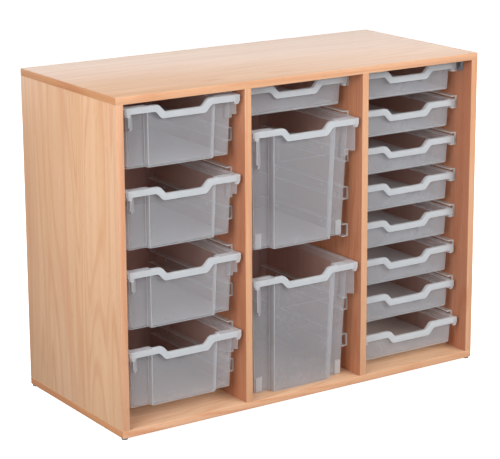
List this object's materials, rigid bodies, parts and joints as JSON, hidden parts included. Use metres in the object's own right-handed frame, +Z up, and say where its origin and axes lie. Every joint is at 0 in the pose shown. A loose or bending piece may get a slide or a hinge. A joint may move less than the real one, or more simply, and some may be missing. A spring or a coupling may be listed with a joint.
{
  "type": "classroom tray storage unit",
  "caption": "Open-fronted beech-faced carcass on glides with columns of translucent pull-out trays in several depths, carried by clear C-section side runners.",
  "frame": {"origin": "on the floor below the middle of the carcass, at the undersides of the glides", "axes": "+X to the right along the width seen from the front, +Y towards the back, +Z up; the trays pull out towards -Y"},
  "size_m": [1.065, 0.474, 0.8241],
  "materials": {
    "beech_board": "satin beech-grain laminate with slightly warmer edge bands",
    "back_board": "satin beech-grain board",
    "dowel_wood": "bare hardwood",
    "glide_plastic": "matt grey",
    "zinc_steel": "bright zinc plate",
    "clear_plastic": "clear, slightly hazy",
    "frosted_plastic": "frosted translucent, whiter where it is thick at the rim"
  },
  "bodies": {
    "carcass": {"top_panel": "beech_board", "base_panel": "beech_board", "left_side_panel": "beech_board", "left_divider": "beech_board", "right_divider": "beech_board", "right_side_panel": "beech_board", "back_panel": "back_board", "left_side_lower_front_dowel": "dowel_wood", "left_side_lower_rear_dowel": "dowel_wood", "left_divider_lower_front_dowel": "dowel_wood", "left_divider_upper_front_dowel": "dowel_wood", "left_divider_lower_rear_dowel": "dowel_wood", "left_divider_upper_rear_dowel": "dowel_wood", "right_divider_lower_front_dowel": "dowel_wood", "right_divider_upper_front_dowel": "dowel_wood", "right_divider_lower_rear_dowel": "dowel_wood", "right_divider_upper_rear_dowel": "dowel_wood", "right_side_lower_front_dowel": "dowel_wood", "right_side_lower_rear_dowel": "dowel_wood", "front_left_glide": "glide_plastic", "rear_left_glide": "glide_plastic", "front_middle_glide": "glide_plastic", "rear_middle_glide": "glide_plastic", "front_right_glide": "glide_plastic", "rear_right_glide": "glide_plastic", "front_left_bracket": "zinc_steel", "rear_left_bracket": "zinc_steel", "front_right_bracket": "zinc_steel", "rear_right_bracket": "zinc_steel", "front_left_bracket_side_screw": "zinc_steel", "front_left_bracket_top_screw": "zinc_steel", "rear_left_bracket_side_screw": "zinc_steel", "rear_left_bracket_top_screw": "zinc_steel", "front_right_bracket_side_screw": "zinc_steel", "front_right_bracket_top_screw": "zinc_steel", "rear_right_bracket_side_screw": "zinc_steel", "rear_right_bracket_top_screw": "zinc_steel", "left_column_left_runners": "clear_plastic", "middle_column_left_upper_runners": "clear_plastic", "middle_column_left_lower_runners": "clear_plastic", "right_column_left_runners": "clear_plastic", "left_column_right_runners": "clear_plastic", "middle_column_right_upper_runners": "clear_plastic", "middle_column_right_lower_runners": "clear_plastic", "right_column_right_runners": "clear_plastic"},
    "deep_tray_1": {"deep_tray_1": "frosted_plastic"},
    "deep_tray_2": {"deep_tray_2": "frosted_plastic"},
    "deep_tray_3": {"deep_tray_3": "frosted_plastic"},
    "deep_tray_4": {"deep_tray_4": "frosted_plastic"},
    "middle_shallow_tray": {"middle_shallow_tray": "frosted_plastic"},
    "upper_jumbo_tray": {"upper_jumbo_tray": "frosted_plastic"},
    "lower_jumbo_tray": {"lower_jumbo_tray": "frosted_plastic"},
    "shallow_tray_1": {"shallow_tray_1": "frosted_plastic"},
    "shallow_tray_2": {"shallow_tray_2": "frosted_plastic"},
    "shallow_tray_3": {"shallow_tray_3": "frosted_plastic"},
    "shallow_tray_4": {"shallow_tray_4": "frosted_plastic"},
    "shallow_tray_5": {"shallow_tray_5": "frosted_plastic"},
    "shallow_tray_6": {"shallow_tray_6": "frosted_plastic"},
    "shallow_tray_7": {"shallow_tray_7": "frosted_plastic"},
    "shallow_tray_8": {"shallow_tray_8": "frosted_plastic"}
  },
  "joints": [
    {"name": "deep_tray_1_slide", "type": "slide", "parent": "carcass", "child": "deep_tray_1", "axis": [0, -1, 0], "range_m": [-0.045, 0.415]},
    {"name": "deep_tray_2_slide", "type": "slide", "parent": "carcass", "child": "deep_tray_2", "axis": [0, -1, 0], "range_m": [-0.045, 0.415]},
    {"name": "deep_tray_3_slide", "type": "slide", "parent": "carcass", "child": "deep_tray_3", "axis": [0, -1, 0], "range_m": [-0.045, 0.415]},
    {"name": "deep_tray_4_slide", "type": "slide", "parent": "carcass", "child": "deep_tray_4", "axis": [0, -1, 0], "range_m": [-0.045, 0.415]},
    {"name": "middle_shallow_tray_slide", "type": "slide", "parent": "carcass", "child": "middle_shallow_tray", "axis": [0, -1, 0], "range_m": [0, 0.46]},
    {"name": "upper_jumbo_tray_slide", "type": "slide", "parent": "carcass", "child": "upper_jumbo_tray", "axis": [0, -1, 0], "range_m": [-0.049, 0.411]},
    {"name": "lower_jumbo_tray_slide", "type": "slide", "parent": "carcass", "child": "lower_jumbo_tray", "axis": [0, -1, 0], "range_m": [-0.049, 0.411]},
    {"name": "shallow_tray_1_slide", "type": "slide", "parent": "carcass", "child": "shallow_tray_1", "axis": [0, -1, 0], "range_m": [0, 0.46]},
    {"name": "shallow_tray_2_slide", "type": "slide", "parent": "carcass", "child": "shallow_tray_2", "axis": [0, -1, 0], "range_m": [0, 0.46]},
    {"name": "shallow_tray_3_slide", "type": "slide", "parent": "carcass", "child": "shallow_tray_3", "axis": [0, -1, 0], "range_m": [0, 0.46]},
    {"name": "shallow_tray_4_slide", "type": "slide", "parent": "carcass", "child": "shallow_tray_4", "axis": [0, -1, 0], "range_m": [0, 0.46]},
    {"name": "shallow_tray_5_slide", "type": "slide", "parent": "carcass", "child": "shallow_tray_5", "axis": [0, -1, 0], "range_m": [0, 0.46]},
    {"name": "shallow_tray_6_slide", "type": "slide", "parent": "carcass", "child": "shallow_tray_6", "axis": [0, -1, 0], "range_m": [-0.005, 0.455]},
    {"name": "shallow_tray_7_slide", "type": "slide", "parent": "carcass", "child": "shallow_tray_7", "axis": [0, -1, 0], "range_m": [-0.01, 0.45]},
    {"name": "shallow_tray_8_slide", "type": "slide", "parent": "carcass", "child": "shallow_tray_8", "axis": [0, -1, 0], "range_m": [-0.026, 0.434]}
  ]
}
